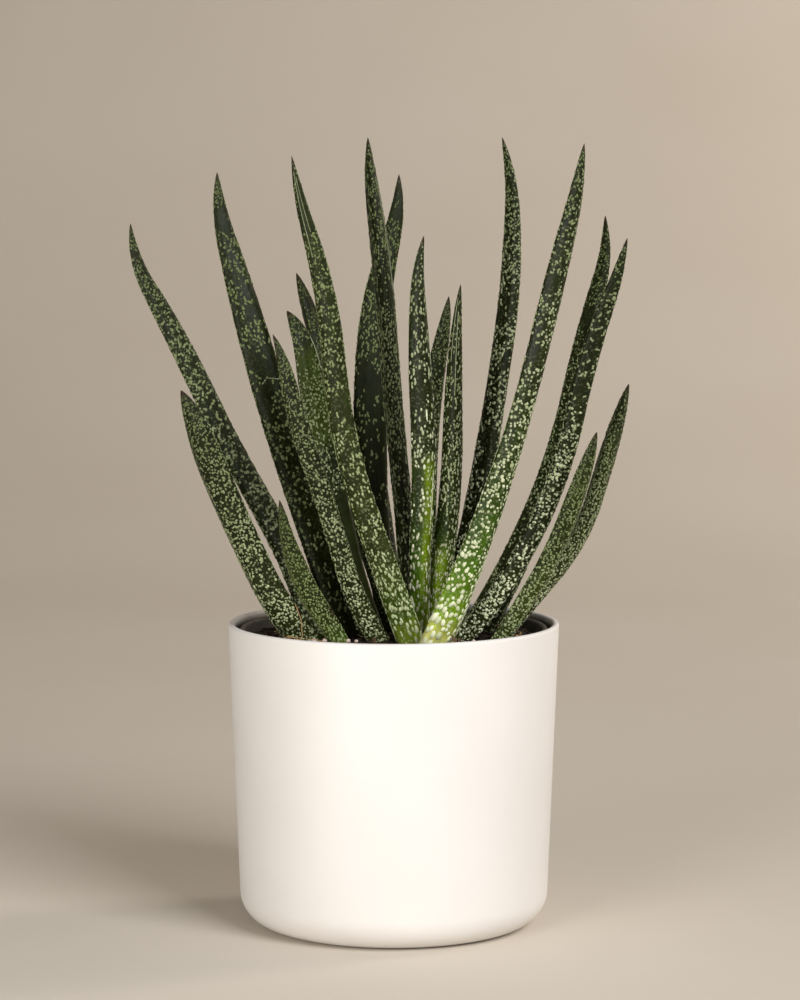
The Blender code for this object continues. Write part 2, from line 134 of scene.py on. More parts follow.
class Leaf:
    """One leaf, with lengths in mm and angles in degrees.

    side is the lean to the right at the shares of the length in SIDE_AT, fore the lean toward the viewer
    at those in FORE_AT, facing the plan direction of the inner face, and swell the base's extra width.
    """

    def __init__(self, name, root, side, fore, length, width, thick, taper, facing, swell=1.0, tone="old"):
        self.name, self.tone = name, tone
        self.length, self.width, self.thick = length, width, thick
        self.taper, self.swell = taper, swell
        shares = np.linspace(0.0, 1.0, LINE_STEPS + 1)
        lean_side = np.radians(np.interp(shares, SIDE_AT, side))
        lean_fore = np.radians(np.interp(shares, FORE_AT, fore))
        ways = np.stack([np.tan(lean_side), -np.tan(lean_fore), np.ones_like(shares)], axis=1)
        self.ways = ways / np.linalg.norm(ways, axis=1)[:, None]
        steps = self.ways * (length / LINE_STEPS)
        start = np.array([[root[0], root[1], LEAF_ROOT]])
        self.line = np.concatenate([start, start + np.cumsum(steps[:-1], axis=0)])
        turn = math.radians(facing)
        self.inward = np.array([math.cos(turn), math.sin(turn), 0.0])
        self.marks = np.linspace(0.0, length, LINE_STEPS + 1)
        width, thick = self.size(self.marks)
        runs = np.hypot(np.diff(ROUND_X) * width[:, None] / 2, np.diff(ROUND_Y) * thick[:, None])
        self.girths = runs.sum(axis=1)

    def size(self, along):
        """Width and thickness at each distance from the base."""
        rest = np.clip((self.length - along) / self.taper, 0.0, 1.0)
        taper = (1 - (1 - rest) ** TIP_CURVE) ** TIP_BLUNT
        lower = np.clip(1 - along / (SWELL_REACH * self.length), 0.0, None)
        width = self.width * (1 + (self.swell - 1) * lower) * taper
        thick = self.thick * (1 + (self.swell - 1) * SWELL_THICK * lower) * taper
        return width, np.minimum(thick, LEAF_PLUMP * width)

    def way(self, along):
        return np.stack([np.interp(along, self.marks, self.ways[:, k]) for k in range(3)], axis=-1)

    def girth(self, along):
        return np.interp(along, self.marks, self.girths)

    def surface(self, along, share):
        """Points of the bare skin at distances along the leaf and shares of the way round it."""
        centre = np.stack([np.interp(along, self.marks, self.line[:, k]) for k in range(3)], axis=-1)
        way = self.way(along)
        inner = self.inward - way * (way @ self.inward)[..., None]
        inner /= np.linalg.norm(inner, axis=-1)[..., None]
        across = np.cross(inner, way)
        width, thick = self.size(along)
        x = np.interp(share % 1.0, SHARES, ROUND_X)
        y = np.interp(share % 1.0, SHARES, ROUND_Y)
        return centre + across * (x * width / 2)[..., None] + inner * (y * thick)[..., None]

    def outward(self, along, share):
        """Outward directions of the skin at the same kind of places."""
        around = self.surface(along, share + PROBE_AROUND) - self.surface(along, share - PROBE_AROUND)
        up = self.surface(along + PROBE_ALONG, share) - self.surface(along - PROBE_ALONG, share)
        out = np.cross(around, up)
        return out / np.maximum(np.linalg.norm(out, axis=-1), 1e-9)[..., None]


def rounded_section():
    """Smooth closed curve through the section's corners, and the share of the way round of its points."""
    corners = [Vector(corner) for corner in SECTION]
    count = len(corners)
    points = []
    for i in range(count):
        a, b, c, d = (corners[(i + k) % count] for k in (-1, 0, 1, 2))
        for step in range(SECTION_STEPS):
            t = step / SECTION_STEPS
            points.append(0.5 * (2 * b + (c - a) * t + (2 * a - 5 * b + 4 * c - d) * t ** 2
                                 + (3 * b - a - 3 * c + d) * t ** 3))
    points.append(points[0])
    x, y = np.array([p.x for p in points]), np.array([p.y for p in points])
    steps = np.hypot(np.diff(x) * SECTION_SQUASH, np.diff(y))
    shares = np.concatenate([[0.0], np.cumsum(steps)])
    return shares / shares[-1], x, y


SHARES, ROUND_X, ROUND_Y = rounded_section()

LEAVES = [
    Leaf("leaf_left_1", (-32, -7), (-14, -29.5, -25.5, -29, -0.5), (-0.5, -2.5, -4.5),
         195, 11.5, 7.5, 84, -45, 1.25),
    Leaf("leaf_left_2", (-34.5, -21), (-43.5, -25, -22.5, -18, -22.5), (9, 11, 9.5),
         124, 17.0, 8.5, 38, 45, 1.05),
    Leaf("leaf_left_3", (-17.5, 1.5), (-20, -19, -16, -15.5, 0), (-6.5, -7.5, -8.5),
         209, 15.0, 8.5, 114, -65),
    Leaf("leaf_left_4", (-21, -27), (-28.5, -32.5, -19.5, -9, -9.5), (12, 10, 6),
         71, 12.0, 8.0, 73, 60, 0.7, "mid"),
    Leaf("leaf_inner_1", (-4, -24), (-33.5, -15.5, -19, -11.5, -21.5), (10, 8, 6),
         142, 11.0, 7.5, 54, 35, 1.05),
    Leaf("leaf_inner_2", (-8.5, -8), (-22.5, -11.5, -11.5, -10, -32.5), (2, 0, -2),
         146, 13.5, 8.5, 38, -50, 1.05),
    Leaf("leaf_inner_3", (1, 6), (-16.5, -19, -8.5, -17.5, -17.5), (-6, -8, -8),
         163, 11.0, 7.5, 40, -30, 1.05),
    Leaf("leaf_inner_4", (-12, 14), (-13, -17, -18, -17, -16), (-14.5, -18.5, -18.5),
         112, 12.0, 8.0, 60, -70),
    Leaf("leaf_front_1", (8, -30.5), (-20, -18, -4.5, -16, -7.5), (10.5, 6.5, 4.5),
         213, 13.5, 8.5, 116, 40, 1.2, "mid"),
    Leaf("leaf_front_2", (11.5, -20.5), (-2, 3.5, -3.5, -1.5, 11.5), (5, 3, 2),
         173, 11.0, 7.5, 90, 115, 0.8, "young"),
    Leaf("leaf_front_3", (13.5, -13), (13.5, 7, 0.5, 3, 6), (6, 4, 2.5),
         154, 9.0, 6.5, 98, 100, 1.1, "young"),
    Leaf("leaf_front_4", (16, -40.5), (24, 19, 13.5, 13, 5.5), (7, 5.5, 3.5),
         220, 10.3, 7.5, 74, 125, 1.5, "young"),
    Leaf("leaf_front_5", (14, 0), (-2, -0.5, 3.5, 12.5, 9.5), (-5, -7, -8),
         148, 10.5, 7.0, 52, -50),
    Leaf("leaf_front_6", (6.5, -5.5), (1, -6, -4, -8, -4), (-2.5, -1.5, -1.5),
         214, 11.5, 7.5, 60, 200, 0.95),
    Leaf("leaf_back_1", (0, 19.5), (-14, -3.5, 2.5, 16, -1), (-5.5, -7, -7),
         201, 15.0, 8.5, 122, -80, 0.65),
    Leaf("leaf_back_2", (22, 5), (16, 10.5, 8, -1, -17), (-2.5, -3.5, -3.5),
         217, 11.0, 7.5, 90, 225, 1.3),
    Leaf("leaf_back_3", (0, 29.5), (-9, -8, -5, -2, 0), (-15, -19, -19),
         90, 12.0, 8.0, 65, -85),
    Leaf("leaf_back_4", (24, 17.5), (9, 14, 16, 16, 16), (-13, -17, -17),
         76, 12.0, 8.0, 55, 250),
    Leaf("leaf_right_1", (28.5, -7.5), (34, 25, 12.5, 14, -7), (-2.5, -2.5, -2.5),
         193, 11.0, 7.5, 76, 225, 0.85),
    Leaf("leaf_right_2", (25.5, -20.5), (42, 26.5, 11, 19.5, 11), (9.5, 7.5, 5.5),
         189, 9.8, 7.5, 64, 140),
    Leaf("leaf_right_3", (42, -26), (31.5, 30.5, 20.5, 16.5, 12.5), (12, 12, 10),
         104, 9.5, 6.5, 38, 130, 0.85),
    Leaf("leaf_right_4", (42.5, -12), (39, 39.5, 16.5, 16, 15), (0, 2, 2),
         126, 10.0, 7.0, 38, 190, 0.7),
    Leaf("leaf_right_5", (34.5, 9), (36, 27, 21, 19, 19), (-12, -17.5, -15.5),
         100, 12.0, 8.0, 65, 230),
]

# Warts of each leaf: usual radius, share of the skin covered, length over width, way that rows run in
# degrees from the leaf's own way, spread of that, warts in a row, how bare the gaps between clusters are,
# paleness from grey-green at 0 to cream at 1, and strength of the flat specks
WARTS = {
    "leaf_left_1": (0.62, 0.50, 1.0, 90, 35, 3.5, 0.4, 0.22, 0.35),
    "leaf_left_2": (0.55, 0.58, 1.0, 60, 50, 2.6, 0.25, 0.24, 0.75),
    "leaf_left_3": (0.56, 0.26, 1.3, 10, 60, 2.0, 0.7, 0.10, 0.12),
    "leaf_left_4": (0.44, 0.40, 1.1, 0, 50, 1.8, 0.2, 0.05, 0.25),
    "leaf_inner_1": (0.50, 0.46, 1.1, 0, 60, 2.2, 0.3, 0.23, 0.50),
    "leaf_inner_2": (0.56, 0.30, 1.1, 0, 90, 2.2, 0.8, 0.26, 0.30),
    "leaf_inner_3": (0.45, 0.34, 1.0, 90, 60, 2.0, 0.3, 0.02, 0.10),
    "leaf_inner_4": (0.56, 0.20, 1.1, 90, 30, 3.0, 0.6, 0.20, 0.40),
    "leaf_front_1": (0.54, 0.44, 1.4, 0, 50, 2.4, 0.45, 0.20, 0.30),
    "leaf_front_2": (0.60, 0.24, 1.7, 0, 20, 1.6, 0.4, 0.55, 0.06),
    "leaf_front_3": (0.46, 0.32, 1.6, 0, 25, 2.2, 0.4, 0.32, 0.06),
    "leaf_front_4": (0.64, 0.34, 1.15, 60, 60, 2.4, 0.6, 0.38, 0.10),
    "leaf_front_5": (0.50, 0.34, 1.0, 0, 60, 2.0, 0.5, 0.20, 0.30),
    "leaf_front_6": (0.52, 0.36, 1.5, 0, 30, 2.0, 0.5, 0.22, 0.30),
    # leaf_back_1's warts are few, dull and faint as painted shade, for the shadow of the leaves in front of
    # it
    "leaf_back_1": (0.46, 0.22, 1.7, 0, 40, 1.8, 0.7, 0.10, 0.06),
    "leaf_back_2": (0.64, 0.38, 1.1, 60, 60, 2.8, 0.6, 0.46, 0.40),
    "leaf_back_3": (0.55, 0.20, 1.0, 90, 30, 3.0, 0.6, 0.20, 0.40),
    "leaf_back_4": (0.55, 0.20, 1.1, 0, 90, 2.0, 0.6, 0.24, 0.40),
    "leaf_right_1": (0.48, 0.36, 1.0, 60, 60, 2.0, 0.6, 0.18, 0.24),
    "leaf_right_2": (0.62, 0.52, 1.0, 40, 60, 3.0, 0.45, 0.48, 0.50),
    "leaf_right_3": (0.48, 0.48, 1.0, 0, 60, 2.4, 0.3, 0.12, 0.40),
    "leaf_right_4": (0.50, 0.50, 1.0, 0, 60, 2.4, 0.3, 0.28, 0.75),
    "leaf_right_5": (0.56, 0.20, 1.0, 90, 30, 3.0, 0.6, 0.22, 0.40),
}

# Pale lines of drawn-out warts: share of the way round and distance along at each end, radius and
# paleness. They run down the edges of young tips, and one is an old scar across a leaf.
STROKES = {
    "leaf_left_3": [(0.144, 116.0, 0.21, 118.0, 0.32, 0.4), (0.22, 117.6, 0.333, 116.2, 0.30, 0.3)],
    "leaf_inner_2": [(0.355, 120, 0.355, 132, 0.28, 0.8)],
    "leaf_front_1": [(0.79, 172, 0.80, 206, 0.21, 0.35), (0.88, 182, 0.87, 204, 0.20, 0.3)],
    "leaf_front_2": [(0.433, 128, 0.433, 169, 0.26, 0.9), (0.967, 120, 0.967, 169, 0.26, 0.9),
                     (0.80, 50, 0.83, 74, 0.50, 0.9), (0.705, 98, 0.705, 100.6, 0.42, 2.2)],
    "leaf_front_3": [(0.57, 122, 0.57, 148, 0.19, 0.4), (0.706, 108, 0.706, 142, 0.20, 0.4)],
    "leaf_front_6": [(0.62, 150, 0.60, 196, 0.28, 0.5)],
}

# Patches of dried tissue, of fresh yellow-green skin and of skin kept bare of warts, which is painted shade
# where a leaf lies in shadow: kind, share of the way round, half width in shares, start and end along the
# leaf, and strength
PATCHES = {
    "leaf_left_1": [("dry", 0.25, 0.20, 176, 186, 0.55)],
    "leaf_left_2": [("dry", 0.30, 0.30, -8, 15, 0.60)],
    "leaf_left_4": [("dry", 0.01, 0.07, 11, 24, 0.9)],
    "leaf_inner_2": [("fresh", 0.20, 0.30, 84, 132, 0.10), ("bare_in_shade", 0.50, 0.60, -8, 72, 1.0)],
    "leaf_front_2": [("fresh", 0.80, 0.14, -8, 84, 0.62)],
    "leaf_front_3": [("fresh", 0.62, 0.18, -8, 46, 0.6), ("bare_in_shade", 0.50, 0.60, 96, 170, 0.5)],
    "leaf_front_6": [("bare_in_shade", 0.50, 0.60, -8, 68, 0.7)],
    "leaf_back_1": [("bare_in_shade", 0.50, 0.60, -8, 120, 0.85)],
    "leaf_right_2": [("bare_in_shade", 0.50, 0.60, 108, 200, 0.7)],
    "leaf_right_3": [("fresh", 0.50, 0.60, -8, 96, 0.04)],
    "leaf_right_4": [("dry", 0.69, 0.06, 8, 34, 0.7), ("fresh", 0.50, 0.60, -8, 110, 0.04)],
}
PATCH_FADE = 7.0  # length over which a patch fades in and out
TIP_DRY = 1.6  # length of the dry point, and over which it fades
SPECK_PITCH = 1.25  # from one flat speck to the next
BARE_SPECKS = 0.12  # their strength where no wart stands
STREAK_WIDE = 1.6  # streaks of the skin's own growth
STREAK_LONG = 22.0
BLOTCH = 9.0  # clouds of darker and lighter skin
SKIN_GRAIN = 0.7  # skin cells are finer, and are drawn as coarse as they need to show


def rgb(code):
    """Linear colour of an sRGB hex code."""
    shares = [int(code[i:i + 2], 16) / 255 for i in (0, 2, 4)]
    return (*[s / 12.92 if s <= 0.04045 else ((s + 0.055) / 1.055) ** 2.4 for s in shares], 1.0)


def new_finish(name):
    mat = bpy.data.materials.new(name)
    mat.use_nodes = True
    return mat, mat.node_tree.nodes["Principled BSDF"]


def add(mat, kind, inputs=None, stops=None, **settings):
    """Add a node. Inputs go by name, or by number where names repeat. Stops are places and hex colours."""
    node = mat.node_tree.nodes.new("ShaderNode" + kind)
    for name, value in settings.items():
        setattr(node, name, value)
    set_inputs(node, inputs or {})
    if stops:
        elements = node.color_ramp.elements
        while len(elements) < len(stops):
            elements.new(0.5)
        for element, (place, code) in zip(elements, stops):
            element.position, element.color = place, rgb(code)
    return node


def set_inputs(node, inputs):
    """Give inputs their values, or link them to a socket or to the output that another node is using."""
    for key, value in inputs.items():
        if isinstance(value, bpy.types.Node):
            value = next(output for output in value.outputs if output.enabled)
        if isinstance(value, bpy.types.NodeSocket):
            node.id_data.links.new(value, node.inputs[key])
        else:
            node.inputs[key].default_value = value


def put(name, data):
    """Put a mesh, a light or the like into the scene."""
    thing = bpy.data.objects.new(name, data)
    PARTS.objects.link(thing)
    return thing


def taken_mesh(name, thing):
    """Take the finished mesh of an object whose modifiers or bevel are live, and drop the object."""
    made = thing.evaluated_get(bpy.context.evaluated_depsgraph_get())
    mesh = bpy.data.meshes.new_from_object(made)
    mesh.name = name
    bpy.data.objects.remove(thing, do_unlink=True)
    return mesh


def finish_piece(name, mesh, finish, node=None):
    """Make a mesh a piece of the dressed part, standing for a CAD node if one is named."""
    mesh.materials.append(finish)
    thing = put(name, mesh)
    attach(thing, "root")
    if node:
        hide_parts(node)


def leaf_skin(name, skin_stops, wart_dull, wart_pale, roughness):
    """Leaf skin and its warts in one finish, read from the leaf's own attributes and UV map."""
    mat, shader = new_finish(name)
    reach, crown, pale, dry, fresh, specks = (
        add(mat, "Attribute", attribute_name=kind).outputs["Fac"]
        for kind in ("reach", "crown", "pale", "dry", "fresh", "specks"))
    places = add(mat, "UVMap", uv_map="skin")
    streak_scale = (UV_SPAN / STREAK_WIDE, UV_SPAN / STREAK_LONG, 1.0)
    drawn_out = add(mat, "Mapping", {"Vector": places, "Scale": streak_scale})
    streaks = add(mat, "TexNoise", {"Vector": drawn_out, "Scale": 1.0, "Detail": 3.0})
    blotch = add(mat, "TexNoise", {"Vector": places, "Scale": UV_SPAN / BLOTCH, "Detail": 2.0})
    skin = add(mat, "ValToRGB", {"Fac": reach}, stops=skin_stops)
    skin = add(mat, "Mix", {0: fresh, 6: skin, 7: rgb("7c9610")}, data_type="RGBA")
    shade = add(mat, "MapRange", {0: streaks, 1: 0.3, 2: 0.7, 3: 0.70, 4: 1.30})
    cloud = add(mat, "MapRange", {0: blotch, 1: 0.3, 2: 0.7, 3: 0.75, 4: 1.25})
    tone = add(mat, "Math", {0: shade, 1: cloud}, operation="MULTIPLY")
    skin = add(mat, "VectorMath", {0: skin, "Scale": tone}, operation="SCALE")
    # Flat specks between the warts
    cells = add(mat, "TexVoronoi", {"Vector": places, "Scale": UV_SPAN / SPECK_PITCH})
    speck = add(mat, "MapRange", {0: cells, 1: 0.42, 2: 0.24, 3: 0.0, 4: 1.0})
    flecks = add(mat, "Math", {0: speck, 1: specks}, operation="MULTIPLY", use_clamp=True)
    wart = add(mat, "Mix", {0: pale, 6: rgb(wart_dull), 7: rgb(wart_pale)}, data_type="RGBA")
    skin = add(mat, "Mix", {0: flecks, 6: skin, 7: wart}, data_type="RGBA")
    top = add(mat, "MapRange", {0: crown, 1: 0.42, 2: 0.74, 3: 0.0, 4: 1.0},
              interpolation_type="SMOOTHSTEP")
    colour = add(mat, "Mix", {0: top, 6: skin, 7: wart}, data_type="RGBA")
    # Painted shade: skin and warts both darken from the soil to the tip, standing for light that falls off
    # with height
    tipward_shade = add(mat, "MapRange", {0: reach, 1: 0.1, 2: 1.0, 3: 1.05, 4: 0.55})
    colour = add(mat, "VectorMath", {0: colour, "Scale": tipward_shade}, operation="SCALE")
    colour = add(mat, "Mix", {0: dry, 6: colour, 7: rgb("2c2016")}, data_type="RGBA")
    gloss = add(mat, "MapRange", {0: blotch, 1: 0.3, 2: 0.7, 3: roughness - 0.06, 4: roughness + 0.08})
    gloss = add(mat, "Mix", {0: top, 2: gloss, 3: 0.6})
    grain = add(mat, "TexNoise", {"Vector": places, "Scale": UV_SPAN / SKIN_GRAIN, "Detail": 2.0})
    low = add(mat, "Bump", {"Strength": 0.35, "Distance": 0.3 * MM, "Height": streaks})
    fine = add(mat, "Bump", {"Strength": 0.25, "Distance": 0.12 * MM, "Height": grain, "Normal": low})
    set_inputs(shader, {"Base Color": colour, "Roughness": gloss, "Normal": fine,
                        "Specular IOR Level": 0.13})
    return mat


def blotched(name, size, stops, detail=5.0, roughness=0.85, strength=0.6, depth=0.3):
    """Finish with blotches of one size and relief of one depth, in mm, with its shader and its blotches."""
    mat, shader = new_finish(name)
    places = add(mat, "TexCoord").outputs["Object"]
    blotch = add(mat, "TexNoise", {"Vector": places, "Scale": 1 / (size * MM), "Detail": detail})
    colour = add(mat, "ValToRGB", {"Fac": blotch}, stops=stops)
    relief = add(mat, "Bump", {"Strength": strength, "Distance": depth * MM, "Height": blotch})
    set_inputs(shader, {"Base Color": colour, "Roughness": roughness, "Normal": relief})
    return mat, shader, blotch


LEAF_FINISHES = {
    # Old skin: almost black olive green with a dull waxy sheen and grey-green warts
    "old": leaf_skin("old gasteria skin, thick waxed cuticle", [
        (0.00, "383c1a"), (0.08, "252a0c"), (0.30, "1d2308"), (0.75, "1d2308"), (1.00, "20270b"),
    ], "74824e", "dae0bc", 0.46),
    # Middle-aged skin: yellow-green by the soil, dark green above
    "mid": leaf_skin("half-grown gasteria skin, waxed cuticle", [
        (0.00, "a2a55a"), (0.03, "6c7c20"), (0.08, "36470d"), (0.22, "252c0a"), (1.00, "242c0c"),
    ], "76844c", "dae0bc", 0.46),
    # Young skin: cream at the foot, then clear yellow-green, and dark only toward the tip
    "young": leaf_skin("young gasteria skin, soft thin cuticle", [
        (0.00, "d4cf9c"), (0.045, "aaac50"), (0.09, "648408"), (0.19, "38550a"), (0.34, "273608"),
        (0.60, "20270a"), (1.00, "222a0c"),
    ], "7e8c56", "e4e8c6", 0.44),
}


def wart_template():
    """One wart: a low dome of unit radius and height whose foot is sunk below the skin."""
    bm = bmesh.new()
    bmesh.ops.create_cone(bm, cap_ends=True, segments=WART_SIDES, radius1=1.0, radius2=WART_SHOULDER,
                          depth=WART_SHOULDER_UP - WART_SUNK)
    bmesh.ops.translate(bm, verts=bm.verts, vec=Vector((0, 0, (WART_SHOULDER_UP + WART_SUNK) / 2)))
    top = max(bm.faces, key=lambda face: face.calc_center_median().z)
    crown = bmesh.ops.poke(bm, faces=[top])["verts"][0]
    crown.co.z = 1.0
    mesh = bpy.data.meshes.new("wart")
    bm.to_mesh(mesh)
    bm.free()
    return mesh


WART = wart_template()
WART_SHAPE = np.array([vert.co[:] for vert in WART.vertices])


def patch(leaf, kind, along, share):
    """How much there is of one kind of patch at places on the skin, from 0 to 1."""
    amount = np.zeros_like(along)
    if kind == "dry":
        amount += np.exp(-np.clip(leaf.length - along - TIP_DRY, 0.0, None) / TIP_DRY)
    for what, middle, half, start, end, strength in PATCHES.get(leaf.name, []):
        if what == kind:
            off = np.abs((share - middle + 0.5) % 1.0 - 0.5) / half
            inside = np.clip((along - start) / PATCH_FADE, 0, 1) * np.clip((end - along) / PATCH_FADE, 0, 1)
            amount += strength * inside * np.exp(-off ** 4)
    return np.clip(amount, 0.0, 1.0)


def attributes(leaf, along, share, crown, pale, specks):
    """What the leaf's finish reads at places on it, by the names of the attributes."""
    return {"reach": along / leaf.length, "crown": crown, "pale": pale, "specks": specks,
            "dry": patch(leaf, "dry", along, share), "fresh": patch(leaf, "fresh", along, share)}


def open_skin(leaf, along, share):
    """How far one place lets warts stand, from 0 on a patch kept bare as painted shade to 1."""
    return 1 - float(patch(leaf, "bare_in_shade", np.array([along]), share)[0])


def favour(bareness, around, along, seed):
    """How readily a row of warts starts at a place, from 0 to 1."""
    cluster = noise.noise(Vector((around * CLUSTERS[0], along * CLUSTERS[1], seed * 3.7)))
    band = noise.noise(Vector((along * BANDS, seed * 1.9, 0.5)))
    pull = CLUSTER_PULL * cluster + BAND_PULL * band - GAP_PULL
    return min(max(1.0 + bareness * pull, LEAST_FAVOUR), 1.0)


def fading(pale, reach):
    """Paleness at a share of the leaf's length, for warts and specks alike."""
    return pale * (FOOT_PALE - PALE_FADE * reach)


def speckle(leaf, along, share, seed):
    """Strength of the flat specks at places on the skin, gathered in the same clusters as the warts."""
    bareness, strength = (WARTS[leaf.name][k] for k in (6, 8))
    places = zip(share * leaf.girth(along), along)
    thick = np.array([favour(bareness, *place, seed) for place in places])
    # Specks also vanish where skin is kept bare as painted shade
    return (BARE_SPECKS + strength * thick) * (1 - patch(leaf, "bare_in_shade", along, share))


def stroke_warts(leaf, draw, placed, rows):
    """Add the warts that are drawn out into pale lines."""
    for share, start, end_share, end, size, brightness in STROKES.get(leaf.name, []):
        across = (end_share - share) * float(leaf.girth((start + end) / 2))
        run = math.hypot(across, end - start)
        steps = max(round(run / (STROKE_PITCH * size * STROKE_STRETCH)), 1)
        for step in range(steps + 1):
            t = step / steps
            along = start + (end - start) * t
            around = float((share + (end_share - share) * t) * leaf.girth(along))
            placed[len(rows)] = around, along, size
            radius = size * draw.uniform(*STROKE_SIZES)
            longer = STROKE_STRETCH * draw.uniform(*STROKE_LENGTHS)
            paleness = brightness * draw.uniform(*STROKE_SIZES)
            rows.append((around, along, radius, longer, -math.atan2(across, end - start), paleness))


def ridge_warts(leaf, draw, placed, rows):
    """Add the warts that stand one by one along both margins and the keel."""
    pale = WARTS[leaf.name][7]
    for ridge in RIDGES:
        share = SHARES[ridge * SECTION_STEPS]
        along = WART_START + draw.random()
        while along < leaf.length - WART_STOP:
            size = RIDGE_RADIUS * draw.uniform(*RIDGE_SIZES)
            if draw.random() < RIDGE_CHANCE * open_skin(leaf, along, share):
                around = float(share * leaf.girth(along) + draw.gauss(0, STRAY))
                placed[len(rows)] = around, along, size
                longer = draw.uniform(*RIDGE_LENGTHS)
                rows.append((around, along, size, longer, 0.0, pale * draw.uniform(*RIDGE_PALES)))
            along += RIDGE_PITCH * draw.uniform(*RIDGE_GAPS)


def place_warts(leaf, seed):
    """Around, along, radius, stretch, turn and paleness of every wart of a leaf, one to a row."""
    radius, cover, stretch, heading, spread, chain, bareness, pale, _ = WARTS[leaf.name]
    draw = random.Random(seed + 11)
    placed = np.zeros((MOST_WARTS, 3))
    rows = []
    stroke_warts(leaf, draw, placed, rows)
    ridge_warts(leaf, draw, placed, rows)
    wanted = cover * leaf.girths.mean() * leaf.length
    covered = 0.0
    for _ in range(ROW_STARTS):
        if covered > wanted or len(rows) >= MOST_WARTS - 1:
            break
        along = draw.uniform(WART_START, leaf.length - WART_STOP)
        girth = float(leaf.girth(along))
        around = draw.uniform(0.0, girth)
        young_foot = leaf.tone != "old" and along < YOUNG_REACH * leaf.length
        chance = open_skin(leaf, along, around / girth) * OPEN_CHANCE
        chance *= favour(bareness, around, along, seed)
        if not young_foot and draw.random() > chance:
            continue
        way = math.radians(heading + draw.choice((0, 180)) + draw.gauss(0, spread))
        row_start = len(rows)
        room = draw.uniform(*APART)
        for _ in range(1 + int(draw.expovariate(1 / max(chain - 1, 0.1)) + 0.5)):
            reach = along / leaf.length
            size = radius * draw.lognormvariate(0.0, WART_SPREAD) * (1.0 - TIP_SMALLER * reach ** 3)
            longer = stretch * draw.uniform(*ROW_LENGTHS)
            if leaf.tone != "old" and reach < YOUNG_REACH:
                young = 1 - reach / YOUNG_REACH
                longer *= 1 + (YOUNG_STRETCH - 1) * young * draw.uniform(*UNEVEN)
                size *= 1 + (YOUNG_GROWTH[leaf.tone] - 1) * young ** YOUNG_RISE
            # Warts of a row may touch each other, but no wart of another row
            others = placed[:row_start]
            gap = np.abs(others[:, 0] - around)
            gap = np.minimum(gap, girth - gap)
            away = np.hypot(gap, (others[:, 1] - along) / max(longer, 1.0))
            if (away < room * (others[:, 2] + size)).any() or len(rows) >= MOST_WARTS:
                break
            placed[len(rows)] = around, along, size
            paleness = fading(pale, reach) * draw.uniform(*UNEVEN)
            rows.append((around, along, size, longer, draw.gauss(0, STRAY), paleness))
            covered += math.pi * size ** 2 * longer * WART_FILL
            step = size * draw.uniform(*ROW_STEP)
            around = (around + step * math.sin(way)) % girth
            along += step * longer * math.cos(way)
            way += math.radians(draw.gauss(0, ROW_SWAY))
            if not WART_START < along < leaf.length - WART_STOP:
                break
    return np.array(rows)


def wart_points(leaf, rows):
    """Corner points, UV places and attributes of every wart, laid over the curved skin."""
    around, along, size, stretch, turn, pale = (column[:, None] for column in rows.T)
    x, y, up = (axis[None, :] for axis in WART_SHAPE.T)
    right = (x * np.cos(turn) - y * stretch * np.sin(turn)) * size
    ahead = (x * np.sin(turn) + y * stretch * np.cos(turn)) * size
    reach_along = np.clip(along + ahead, 0.0, leaf.length - WART_END)
    share = around / leaf.girth(along) + right / leaf.girth(reach_along)
    lower = np.clip((leaf.length - along) / TIP_LOW, TIP_LOWEST, 1.0)
    height = np.maximum(WART_FLAT * size, WART_LEAST) * lower
    points = leaf.surface(reach_along, share) + leaf.outward(reach_along, share) * (up * height)[..., None]
    crown = np.clip((up - WART_SUNK) / (WART_SHOULDER_UP - WART_SUNK), 0.0, 1.0) + 0 * right
    uv = np.stack([(around + right) / UV_SPAN, reach_along / UV_SPAN], axis=-1)
    return points, uv, crown, pale + 0 * right, reach_along + 0 * right, share


def skin_mesh(leaf, seed):
    """Wrap a grid round the leaf, close it, and give it a UV map and the attributes of its finish."""
    bm = bmesh.new()
    skin_map = bm.loops.layers.uv.new("skin")
    bmesh.ops.create_grid(bm, x_segments=AROUND_STEPS, y_segments=ALONG_STEPS, size=0.5)
    flat = np.array([vert.co[:2] for vert in bm.verts]) + 0.5
    along = leaf.length * (1 - (1 - np.clip(flat[:, 1], 0.0, 1.0)) ** RING_EASE)
    share = flat[:, 0]
    points = leaf.surface(along, share)
    swell = np.array([noise.noise(Vector(p / RIPPLE_SIZE)) for p in points])
    ends = np.clip((leaf.length - along) / RIPPLE_TIP, 0.0, 1.0) * np.clip(along / RIPPLE_FOOT, 0.0, 1.0)
    outward = leaf.outward(np.clip(along, PROBE_STOP, leaf.length - PROBE_STOP), share)
    points = points + outward * (swell * RIPPLE * ends)[:, None]
    # The base is cut off level
    base = flat[:, 1] < 1e-6
    ways = leaf.way(along)
    points[base] += ways[base] * ((LEAF_ROOT - points[base, 2]) / ways[base, 2])[:, None]
    corner_uv = np.stack([share * leaf.girth(along), along], axis=1) / UV_SPAN
    pale = fading(WARTS[leaf.name][7], along / leaf.length)
    on_skin = attributes(leaf, along, share, 0 * along, pale, speckle(leaf, along, share, seed))
    layers = {kind: bm.verts.layers.float.new(kind) for kind in on_skin}
    for number, (vert, point) in enumerate(zip(bm.verts, points)):
        vert.co = Vector(point) * MM
        for kind, layer in layers.items():
            vert[layer] = on_skin[kind][number]
    bm.verts.index_update()
    for face in bm.faces:
        for loop in face.loops:
            loop[skin_map].uv = corner_uv[loop.vert.index]
    bmesh.ops.remove_doubles(bm, verts=bm.verts, dist=LEAF_WELD * MM)
    bmesh.ops.holes_fill(bm, edges=[edge for edge in bm.edges if edge.is_boundary])
    bmesh.ops.recalc_face_normals(bm, faces=bm.faces)
    mesh = bpy.data.meshes.new(leaf.name + "_blade")
    bm.to_mesh(mesh)
    bm.free()
    return mesh


